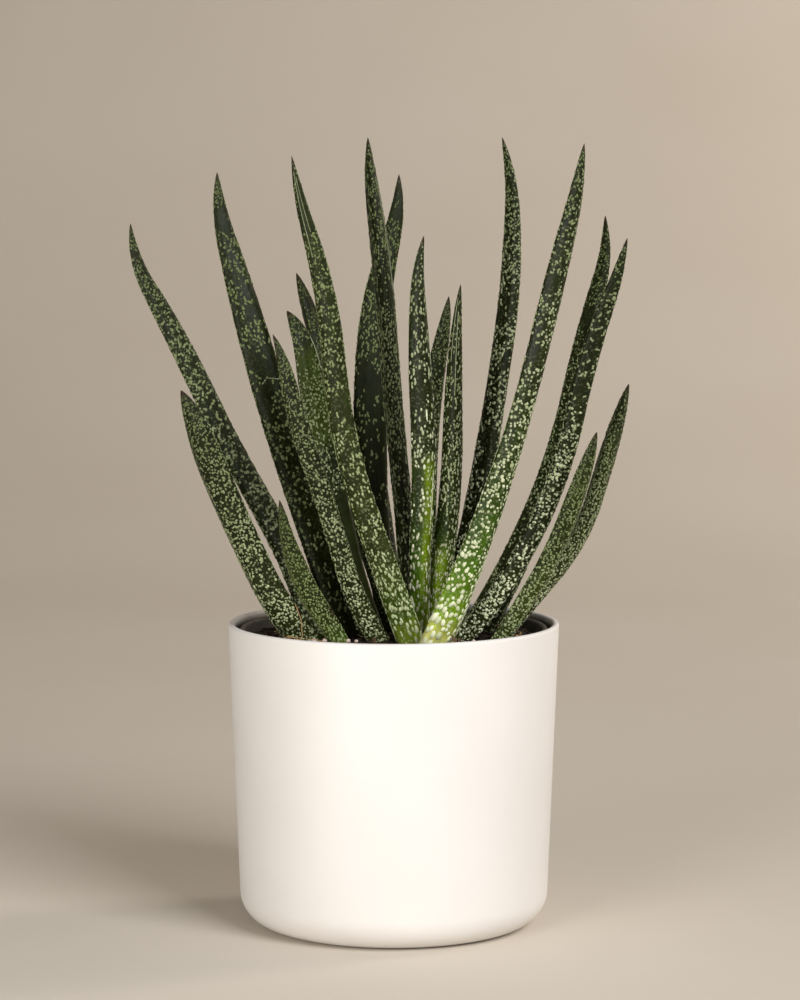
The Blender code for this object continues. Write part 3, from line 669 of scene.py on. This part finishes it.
def stand_warts(leaf, mesh, rows):
    """Add a wart for each row to the leaf's skin, and carry its UV map and attributes over them."""
    skin_count = len(mesh.vertices)
    bm = bmesh.new()
    # The skin is read first, so that its corners come before those of the warts
    bm.from_mesh(mesh)
    for _ in rows:
        bm.from_mesh(WART)
    bm.to_mesh(mesh)
    bm.free()
    wart_co, wart_uv, crown, pale, along, share = wart_points(leaf, rows)
    total = len(mesh.vertices)
    coords = np.empty(total * 3)
    mesh.vertices.foreach_get("co", coords)
    coords[3 * skin_count:] = wart_co.ravel() * MM
    mesh.vertices.foreach_set("co", coords)
    corner_verts = np.empty(len(mesh.loops), dtype=int)
    mesh.loops.foreach_get("vertex_index", corner_verts)
    layer = mesh.uv_layers["skin"].uv
    uvs = np.empty(len(mesh.loops) * 2)
    layer.foreach_get("vector", uvs)
    uvs = uvs.reshape(-1, 2)
    on_wart = corner_verts >= skin_count
    uvs[on_wart] = wart_uv.reshape(-1, 2)[corner_verts[on_wart] - skin_count]
    layer.foreach_set("vector", uvs.ravel())
    for kind, values in attributes(leaf, along, share, crown, pale, 0 * crown).items():
        whole = np.empty(total)
        mesh.attributes[kind].data.foreach_get("value", whole)
        whole[skin_count:] = values.ravel()
        mesh.attributes[kind].data.foreach_set("value", whole)


def leaf_blade(leaf, seed):
    """Make one leaf with its warts, in the finish of its age."""
    mesh = skin_mesh(leaf, seed)
    stand_warts(leaf, mesh, place_warts(leaf, seed))
    mesh.shade_smooth()
    mesh.update()
    finish = LEAF_FINISHES[leaf.tone]
    finish_piece(leaf.name + "_blade", mesh, finish, leaf.name)


for leaf_number, leaf in enumerate(LEAVES):
    leaf_blade(leaf, leaf_number)


# Cover pot, the same profile as its solid with finer rounds
POT_HEIGHT = 128.5
POT_RIM_RADIUS = 70.0
POT_FOOT_RADIUS = 65.5
POT_FOOT_ROUND = 14.0
POT_WALL = 2.6
POT_FLOOR = 3.0
RIM_ROUND = 1.25
POT_STEPS = 160
FOOT_STEPS = 14
RIM_STEPS = 8
POT_KEEP_IN = 0.02  # drawn in a little, so the finer rounds stay inside the solid's box

# Nursery pot
FIT = 0.3
LINER_BOTTOM = POT_FLOOR + FIT
LINER_TOP = 126.3
LINER_BASE_RADIUS = 49.0
LINER_TOP_RADIUS = 64.2
LINER_WALL = 1.2
LINER_FLOOR = 1.6
LINER_LIP = 1.2
LINER_LIP_HEIGHT = 7.0
LINER_HEEL = 1.5
LINER_STEP_OUT = 0.4  # slope under the lip
LINER_STEPS = 120
LIP_STEPS = 4
DRAIN_RADIUS = 5.0
DRAIN_RING_RADIUS = 30.0
DRAIN_COUNT = 6
DRAIN_SIDES = 32

# Pot finishes
POT_CLOUD = 45.0  # faint clouds in the white
POT_GRAIN = 0.9  # the mould's grain is finer, and is drawn as coarse as it needs to show
INNER_DARK_IN = 0.5  # the inner wall's darker colour is full this far inside the middle of the wall
INNER_DARK_OUT = 0.3  # and gone this far outside it
INNER_DARK_HEIGHTS = (0.14, 0.17, 0.975, 0.99)  # shares of the height where it starts, is full, fades and ends
SOIL_FILM = 7.0  # blotches of dried soil water


def arc(centre, radius, start, end, steps):
    """Points of an arc in the profile plane, both ends included. Angles are in degrees."""
    points = []
    for i in range(steps + 1):
        a = math.radians(start + (end - start) * i / steps)
        points.append((centre[0] + radius * math.cos(a), centre[1] + radius * math.sin(a)))
    return points


def turned(outline, steps):
    """Turn an outline of (radius, height) points in mm, from axis to axis, into a closed pot."""
    bm = bmesh.new()
    verts = [bm.verts.new((r * MM, 0.0, z * MM)) for r, z in outline]
    edges = [bm.edges.new(pair) for pair in zip(verts, verts[1:])]
    bmesh.ops.spin(bm, geom=verts + edges, axis=(0, 0, 1), cent=(0, 0, 0), angle=2 * math.pi, steps=steps,
                   use_merge=True)
    bmesh.ops.remove_doubles(bm, verts=bm.verts, dist=POT_WELD * MM)
    bmesh.ops.recalc_face_normals(bm, faces=bm.faces)
    return bm


def to_mesh(name, bm, sharp=40):
    mesh = bpy.data.meshes.new(name)
    bm.to_mesh(mesh)
    bm.free()
    mesh.shade_smooth()
    mesh.set_sharp_from_angle(angle=math.radians(sharp))
    return mesh


def white_plastic():
    """Moulded white plastic: matt, faintly uneven, with the fine grain of a spark-finished mould."""
    mat, shader = new_finish("warm white plastic, moulded with a fine matt grain")
    places = add(mat, "TexCoord").outputs["Object"]
    cloud = add(mat, "TexNoise", {"Vector": places, "Scale": 1 / (POT_CLOUD * MM), "Detail": 3.0})
    white = add(mat, "ValToRGB", {"Fac": cloud}, stops=[(0.3, "e0dcd8"), (0.7, "e4e0dc")])
    # The inner wall is a darker brown-grey, from just below the rim down
    part = add(mat, "SeparateXYZ", {"Vector": places}).outputs
    flat = add(mat, "CombineXYZ", {"X": part["X"], "Y": part["Y"]})
    away = add(mat, "VectorMath", {0: flat}, operation="LENGTH")
    flare = (POT_RIM_RADIUS - POT_FOOT_RADIUS) / POT_HEIGHT
    upright = add(mat, "Math", {0: part["Z"], 1: -flare, 2: away}, operation="MULTIPLY_ADD")
    middle = POT_FOOT_RADIUS - POT_WALL / 2
    inner = add(mat, "MapRange", {0: upright, 1: (middle + INNER_DARK_OUT) * MM, 2: (middle - INNER_DARK_IN) * MM})
    height = add(mat, "Math", {0: part["Z"], 1: 1 / (POT_HEIGHT * MM)}, operation="MULTIPLY")
    below = add(mat, "ValToRGB", {"Fac": height},
                stops=list(zip(INNER_DARK_HEIGHTS, ("000000", "ffffff", "ffffff", "000000"))))
    inner_dark = add(mat, "Math", {0: inner, 1: below}, operation="MULTIPLY")
    colour = add(mat, "Mix", {0: inner_dark, 6: white, 7: rgb("4f463b")}, data_type="RGBA")
    gloss = add(mat, "MapRange", {0: cloud, 1: 0.3, 2: 0.7, 3: 0.42, 4: 0.50})
    grain = add(mat, "TexNoise", {"Vector": places, "Scale": 1 / (POT_GRAIN * MM), "Detail": 2.0})
    relief = add(mat, "Bump", {"Strength": 0.12, "Distance": 0.06 * MM, "Height": grain})
    set_inputs(shader, {"Base Color": colour, "Roughness": gloss, "Normal": relief})
    return mat


def dark_plastic():
    """Thin grey-brown plastic of a grown-in pot, dulled by a film of dried soil water."""
    mat, shader, film = blotched("taupe recycled plastic, thin moulded and dusty", SOIL_FILM, [
        (0.3, "2c2a23"), (0.55, "3d392f"), (0.8, "544d3f")], detail=6.0, strength=0.2, depth=0.1)
    set_inputs(shader, {"Roughness": add(mat, "MapRange", {0: film, 1: 0.3, 2: 0.7, 3: 0.45, 4: 0.75})})
    return mat


def cover_pot():
    tilt = math.degrees(math.atan((POT_RIM_RADIUS - POT_FOOT_RADIUS) / (POT_HEIGHT - POT_FOOT_ROUND)))
    foot = arc((POT_FOOT_RADIUS - POT_FOOT_ROUND, POT_FOOT_ROUND), POT_FOOT_ROUND, -90, -tilt, FOOT_STEPS)
    rim = arc((POT_RIM_RADIUS - RIM_ROUND, POT_HEIGHT - RIM_ROUND), RIM_ROUND, -tilt, 90, RIM_STEPS)
    inner_rim = arc((POT_RIM_RADIUS - POT_WALL + RIM_ROUND, POT_HEIGHT - RIM_ROUND), RIM_ROUND, 90, 180,
                    RIM_STEPS)[1:]
    inner_round = POT_FOOT_ROUND - POT_WALL
    inner_foot = arc((POT_FOOT_RADIUS - POT_FOOT_ROUND, POT_FLOOR + inner_round), inner_round, -tilt, -90,
                     FOOT_STEPS)
    outline = [(0.0, 0.0)] + foot + rim + inner_rim + inner_foot + [(0.0, POT_FLOOR)]
    drawn_in = [(max(r - POT_KEEP_IN, 0.0), z) for r, z in outline]
    mesh = to_mesh("cover_pot_shell", turned(drawn_in, POT_STEPS))
    finish_piece("cover_pot_shell", mesh, white_plastic(), "cover_pot")


def nursery_pot():
    lip_radius = LINER_TOP_RADIUS + LINER_LIP
    lip_foot = LINER_TOP - LINER_LIP_HEIGHT
    floor_top = LINER_BOTTOM + LINER_FLOOR
    inner_base = LINER_BASE_RADIUS - LINER_WALL
    inner_top = LINER_TOP_RADIUS - LINER_WALL
    edge = (lip_radius - inner_top) / 2
    lip = arc((lip_radius - edge, LINER_TOP - edge), edge, 0, 180, 2 * LIP_STEPS)
    outline = [
        (0.0, LINER_BOTTOM),
        (LINER_BASE_RADIUS - LINER_HEEL, LINER_BOTTOM),
        (LINER_BASE_RADIUS, LINER_BOTTOM + LINER_HEEL),
        (LINER_TOP_RADIUS - 2 * LINER_STEP_OUT, lip_foot - 2 * LINER_STEP_OUT),
        (lip_radius - LINER_STEP_OUT, lip_foot),
        *lip,
        (inner_base, floor_top + LINER_HEEL),
        (inner_base - LINER_HEEL, floor_top),
        (0.0, floor_top),
    ]
    bm = turned(outline, LINER_STEPS)
    drains = bmesh.new()
    for i in range(DRAIN_COUNT):
        a = 2 * math.pi * (i + 0.5) / DRAIN_COUNT
        middle = Vector((DRAIN_RING_RADIUS * math.cos(a), DRAIN_RING_RADIUS * math.sin(a), LINER_BOTTOM))
        hole = bmesh.ops.create_cone(drains, cap_ends=True, segments=DRAIN_SIDES, radius1=DRAIN_RADIUS * MM,
                                     radius2=DRAIN_RADIUS * MM, depth=4 * LINER_FLOOR * MM)
        bmesh.ops.translate(drains, verts=hole["verts"], vec=middle * MM)
    cutter = put("drain holes", to_mesh("drain holes", drains))
    body = put("nursery_pot_wall blank", to_mesh("nursery_pot_wall blank", bm))
    body.modifiers.new("cut", "BOOLEAN").object = cutter
    mesh = taken_mesh("nursery_pot_wall", body)
    bpy.data.objects.remove(cutter, do_unlink=True)
    finish_piece("nursery_pot_wall", mesh, dark_plastic(), "nursery_pot")


cover_pot()
nursery_pot()

# Soil and what lies on it
SOIL_EDGE = 121.6
SOIL_CUTS = 4
SOIL_ROUGH = 0.55
TOP_DEEP = 1.5  # the top's lowest faces lie at most this far under its edge
GROUND_DEEP = 3.0  # and nothing lies on soil lower than this
LUMPS = 5.0
FINE_LUMPS = 2.2
FINE_SHARE = 0.7
FOOT_HEIGHTS = (2.5, 5.0)  # where a leaf's foot is measured, above its base
FOOT_PLACES = 12
CRUMBS = 900
GRITS = 46
CHIPS = 34
THREADS = 46
STREW_REACH = 60.5
STREW_TRIES = 6  # for each lump wanted
LUMP_ROUGH = 0.35
LUMP_LEAN = 0.25  # radians
LUMP_RISE = 0.25  # middle of a lump over the soil, as a share of its height
COIR_REACH = 58.0  # threads start within this of the pot's middle, and end within the next
COIR_STOP = 59.0
COIR_RADIUS = 0.16
COIR_STEP = 1.3
COIR_SWAY = 0.45  # turn from step to step, in radians
COIR_STEPS = (6, 12)
COIR_SHORTEST = 5
COIR_LIFT = (0.2, 0.9)
COIR_ROOM = 0.5
FRONT_GRITS = [  # x, y and z, radius, and height over width
    (-33.0, -31.5, 124.6, 1.2, 0.9), (-28.5, -35.0, 125.0, 1.1, 0.9), (-18.7, -37.5, 125.4, 1.0, 0.9),
    (-15.5, -38.5, 125.4, 0.8, 0.9), (33.0, -38.0, 125.2, 0.9, 0.9),
]
FRONT_CHIPS = [
    (-8.0, -40.0, 125.2, 1.1, 2.2), (25.2, -46.0, 126.6, 1.0, 2.4), (27.0, -44.5, 126.0, 1.0, 2.0),
]
ROOTLETS = [  # one rootlet climbs the lowest left leaf, and one lies looped beside it
    [(-47, -33.5, 125.2), (-44, -36, 126.6), (-41, -37, 126.9), (-38, -36, 126.3), (-37.4, -32.5, 126.8),
     (-38.4, -29.8, 129), (-38, -28.9, 132.5), (-39.4, -28.7, 136), (-40.8, -29, 139.5)],
    [(-48, -35, 124.8), (-45.5, -37.5, 126.6), (-43, -37.4, 127.6), (-42, -36, 127), (-44, -35, 126.4),
     (-43, -38, 126), (-39, -39.4, 126.3), (-35, -39.6, 126.6), (-31, -40.4, 126.2), (-27, -41, 125.2)],
]

# Moist peat with coir: almost black crumbs without shine, browner where they have dried
PEAT, peat_shader, peat_clods = blotched("peat and coir potting mix, sieved and watered in", 3.5, [
    (0.30, "120e0a"), (0.50, "241a12"), (0.62, "3d2d1e"), (0.75, "5e4831"),
], detail=8.0, roughness=0.92, strength=0.8, depth=0.6)
set_inputs(peat_clods, {"Roughness": 0.65})
set_inputs(peat_shader, {"Specular IOR Level": 0.25})
# Pumice: pale pinkish grains, darker in their pores
PUMICE = blotched("pumice grit, crushed and sieved", 0.8, [(0.35, "b49a8c"), (0.65, "e4d4ca")])[0]
# Bark: brown flakes, darker where they are moist
BARK = blotched("pine bark chips, shredded", 1.2, [(0.35, "33251a"), (0.65, "6f563a")])[0]
# Rootlets and coir: straw-coloured threads that catch the light
ROOTLET = blotched("dried rootlets and coir threads", 1.5, [(0.35, "8a6440"), (0.65, "d9b078")])[0]


def soil_top():
    """The solid soil again, its top cut finer and broken up into crumbs."""
    bm = bmesh.new()
    bm.from_mesh(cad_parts["soil"].data)
    bmesh.ops.remove_doubles(bm, verts=bm.verts, dist=SOIL_WELD * MM)
    low = (SOIL_EDGE - TOP_DEEP) * MM
    tops = [face for face in bm.faces if face.normal.z > 0.5 and face.calc_center_median().z > low]
    edges = list({edge for face in tops for edge in face.edges})
    bmesh.ops.subdivide_edges(bm, edges=edges, cuts=SOIL_CUTS, use_grid_fill=True)
    bmesh.ops.triangulate(bm, faces=[face for face in bm.faces if len(face.verts) > 4])
    for vert in bm.verts:
        if all(face.normal.z > 0.3 for face in vert.link_faces) and vert.co.z > low:
            fine = noise.noise(vert.co / (FINE_LUMPS * MM))
            vert.co.z += SOIL_ROUGH * MM * (noise.noise(vert.co / (LUMPS * MM)) + FINE_SHARE * fine)
    tree = BVHTree.FromBMesh(bm)
    finish_piece("soil_bed", to_mesh("soil_bed", bm, 60), PEAT, "soil")
    return tree


SOIL_TREE = soil_top()


def ground(x, y):
    """Height of the soil under a place, in metres, or None beyond its edge or inside a leaf's hole."""
    hit = SOIL_TREE.ray_cast(Vector((x, y, 0.2)), Vector((0, 0, -1)))[0]
    return hit.z if hit and hit.z > (SOIL_EDGE - GROUND_DEEP) * MM else None


def leaf_feet():
    """Middle and reach of every leaf where it leaves the soil, in metres."""
    feet = []
    shares = np.linspace(0.0, 1.0, FOOT_PLACES, endpoint=False)
    for leaf in LEAVES:
        for height in FOOT_HEIGHTS:
            ring = leaf.surface(np.full(FOOT_PLACES, height), shares) * MM
            middle = ring.mean(axis=0)
            feet.append((middle[0], middle[1], np.hypot(*(ring[:, :2] - middle[:2]).T).max()))
    return feet


LEAF_FEET = leaf_feet()


def clear_of_leaves(x, y, room):
    """True where nothing of a leaf stands within a distance of a place on the soil, all in metres."""
    return all(math.hypot(x - foot_x, y - foot_y) > reach + room for foot_x, foot_y, reach in LEAF_FEET)


def somewhere(draw, reach):
    """Random place within a reach in mm of the pot's middle, in metres."""
    angle = draw.uniform(0, 2 * math.pi)
    out = reach * MM * math.sqrt(draw.random())
    return out * math.cos(angle), out * math.sin(angle)


def lump(whole, draw, place, size, cuts, flat, squeeze):
    """Add one broken lump to a piece. size is a radius in metres, and flat is height over width."""
    verts = bmesh.ops.create_icosphere(whole, subdivisions=cuts, radius=size)["verts"]
    shift = Vector((draw.random(), draw.random(), draw.random())) * 50
    for vert in verts:
        vert.co *= 1 + LUMP_ROUGH * noise.noise(vert.co / size + shift)
    tilt = Matrix.Rotation(draw.gauss(0, LUMP_LEAN), 3, "X")
    tilt = tilt @ Matrix.Rotation(draw.gauss(0, LUMP_LEAN), 3, "Y")
    turn = Matrix.Rotation(draw.uniform(0, 2 * math.pi), 3, "Z")
    shape = Matrix.Diagonal((1.0, squeeze, flat))
    bmesh.ops.transform(whole, matrix=(tilt @ turn @ shape).to_4x4(), verts=verts)
    bmesh.ops.translate(whole, verts=verts, vec=place)


def strew(name, count, least, most, flat, cuts, finish, seed, squeeze=1.0, chosen=()):
    """Scatter broken lumps of a range of radii over the soil as one piece, with a few at chosen places."""
    draw = random.Random(seed)
    whole = bmesh.new()
    for x, y, z, size, height in chosen:
        lump(whole, draw, Vector((x, y, z)) * MM, size * MM, cuts, height, squeeze)
    made = 0
    for _ in range(count * STREW_TRIES):
        if made == count:
            break
        x, y = somewhere(draw, STREW_REACH)
        size = draw.uniform(least, most) * MM
        z = ground(x, y)
        if z is None or not clear_of_leaves(x, y, size):
            continue
        lump(whole, draw, Vector((x, y, z + LUMP_RISE * flat * size)), size, cuts, flat, squeeze)
        made += 1
    finish_piece(name, to_mesh(name, whole, 35), finish)


strew("peat_crumbs", CRUMBS, 0.5, 1.3, 0.75, 1, PEAT, 3)
strew("pumice_grit", GRITS, 0.7, 1.6, 0.8, 2, PUMICE, 4, chosen=FRONT_GRITS)
strew("bark_chips", CHIPS, 1.2, 2.6, 0.35, 2, BARK, 5, 0.5, chosen=FRONT_CHIPS)


def threads(name, paths, radius, finish):
    """Make one piece of fine round threads along lists of points in metres."""
    curve = bpy.data.curves.new(name, "CURVE")
    curve.dimensions = "3D"
    curve.bevel_depth = radius * MM
    curve.bevel_resolution = 1
    curve.use_fill_caps = True
    for path in paths:
        spline = curve.splines.new("NURBS")
        spline.points.add(len(path) - 1)
        for point, place in zip(spline.points, path):
            point.co = (*place, 1.0)
        spline.use_endpoint_u = True
        spline.order_u = 4
        spline.resolution_u = 3
    mesh = taken_mesh(name, put(name + " curve", curve))
    mesh.shade_smooth()
    finish_piece(name, mesh, finish)


def coir():
    """Lay loose threads on the soil, and the rootlets among them."""
    draw = random.Random(8)
    paths = []
    while len(paths) < THREADS:
        place = Vector((*somewhere(draw, COIR_REACH), 0))
        heading = draw.uniform(0, 2 * math.pi)
        path = []
        for _ in range(draw.randint(*COIR_STEPS)):
            z = ground(place.x, place.y)
            outside = place.length > COIR_STOP * MM
            if z is None or outside or not clear_of_leaves(place.x, place.y, COIR_ROOM * MM):
                break
            path.append((place.x, place.y, z + draw.uniform(*COIR_LIFT) * MM))
            heading += draw.gauss(0, COIR_SWAY)
            place = place + Vector((math.cos(heading), math.sin(heading), 0)) * COIR_STEP * MM
        if len(path) >= COIR_SHORTEST:
            paths.append(path)
    paths += [[tuple(value * MM for value in point) for point in path] for path in ROOTLETS]
    threads("coir_threads", paths, COIR_RADIUS, ROOTLET)


coir()

# Rootstock, out of sight under the soil: dull brown cork, darker where soil has stained it
ROOTSTOCK = blotched("gasteria rootstock, corky and soil-stained", 3.0,
                     [(0.35, "4a3826"), (0.65, "8a7048")])[0]
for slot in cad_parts["rootstock"].material_slots:
    slot.material = ROOTSTOCK

# Stage, in metres
FLOOR_FRONT = -3.0
FLOOR_DROP = 0.0003  # keeps the paper clear of the pot's foot
SWEEP_START = 1.1
SWEEP_RADIUS = 1.6
SWEEP_STEPS = 24
BACKDROP_TOP = 3.2
FRONT_TOP = 2.0
STAGE_HALF = 4.5
PAPER_CLOUDS = 3.0  # faint clouds in a metre of paper
POT_AIM = (0.0, 0.0, 0.12)  # where two lights point


def backdrop():
    """Floor, back wall and a low front wall in one seamless sweep of matt, faintly clouded beige paper."""
    mat, shader = new_finish("beige background paper, matt")
    places = add(mat, "TexCoord").outputs["Object"]
    cloud = add(mat, "TexNoise", {"Vector": places, "Scale": PAPER_CLOUDS, "Detail": 3.0})
    colour = add(mat, "ValToRGB", {"Fac": cloud}, stops=[(0.3, "d3c9bb"), (0.7, "d7cec1")])
    set_inputs(shader, {"Base Color": colour, "Roughness": 0.9})
    near = arc((FLOOR_FRONT, SWEEP_RADIUS), SWEEP_RADIUS, -180, -90, SWEEP_STEPS)
    far = arc((SWEEP_START, SWEEP_RADIUS), SWEEP_RADIUS, -90, 0, SWEEP_STEPS)
    front_top = (FLOOR_FRONT - SWEEP_RADIUS, FRONT_TOP)
    back_top = (SWEEP_START + SWEEP_RADIUS, BACKDROP_TOP)
    bm = bmesh.new()
    verts = [bm.verts.new((-STAGE_HALF, y, z - FLOOR_DROP)) for y, z in [front_top, *near, *far, back_top]]
    edges = [bm.edges.new(pair) for pair in zip(verts, verts[1:])]
    wide = bmesh.ops.extrude_edge_only(bm, edges=edges)["geom"]
    bmesh.ops.translate(bm, verts=[v for v in wide if isinstance(v, bmesh.types.BMVert)],
                        vec=Vector((2 * STAGE_HALF, 0, 0)))
    mesh = to_mesh("backdrop", bm)
    mesh.materials.append(mat)
    put("backdrop", mesh)


backdrop()


def soft_light(name, place, aim, size, power, colour):
    data = bpy.data.lights.new(name, "AREA")
    data.shape = "SQUARE"
    data.size = size
    data.energy = power
    data.color = colour[:3]
    thing = put(name, data)
    thing.location = place
    thing.rotation_euler = (Vector(aim) - Vector(place)).to_track_quat("-Z", "Y").to_euler()


# A wide key light high on the right, a low fill at the left front, and one light for the wall alone
soft_light("key light", (1.50, -1.98, 1.65), POT_AIM, 1.5, 70.5, rgb("fcfdff"))
soft_light("fill light", (-0.66, -1.10, 0.31), POT_AIM, 0.55, 10.2, rgb("fffcf8"))
soft_light("wall light", (2.20, 0.90, 1.30), (0.25, 2.60, 0.40), 1.2, 33.5, rgb("fff2e2"))
bpy.context.scene.view_settings.view_transform = "Standard"

world = bpy.data.worlds.new("studio")
world.use_nodes = True
set_inputs(world.node_tree.nodes["Background"], {"Color": rgb("efeae4"), "Strength": 0.14})
bpy.context.scene.world = world

camera = put("photo view", bpy.data.cameras.new("photo view"))
camera.data.sensor_width = 36.0
camera.data.lens = 119.9
camera.location = (2.65 * MM, -1.400, 0.315)
camera.rotation_euler = (math.radians(84.5), 0.0, 0.0)
bpy.context.scene.camera = camera


def corners(box):
    return [[float(value) for value in corner] for corner in box]
